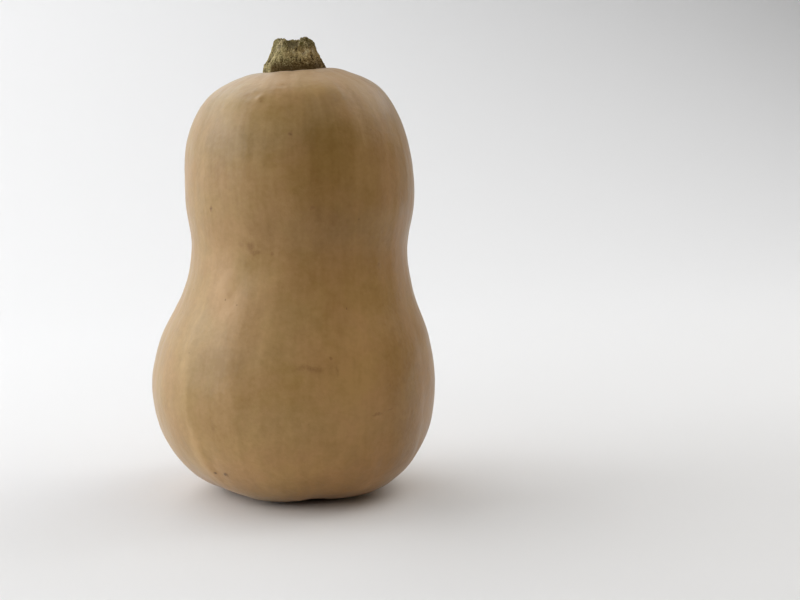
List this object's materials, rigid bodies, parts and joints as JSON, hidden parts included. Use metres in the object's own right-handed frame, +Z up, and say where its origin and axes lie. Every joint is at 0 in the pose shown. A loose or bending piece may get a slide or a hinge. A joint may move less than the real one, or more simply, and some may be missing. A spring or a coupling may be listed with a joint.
{
  "type": "butternut squash",
  "caption": "Whole ripe butternut squash with a rounded bulb, a gentle waist, a thick neck and a short dried stem, standing on its lobed base.",
  "frame": {"origin": "on the ground, under the middle of the whole squash", "axes": "+Z up from the base to the stem, -Y the front"},
  "size_m": [0.1456, 0.1444, 0.2319],
  "materials": {
    "rind": "satin",
    "stem_cork": "matte"
  },
  "bodies": {
    "root": {"fruit": "rind", "stem": "stem_cork"}
  },
  "joints": []
}
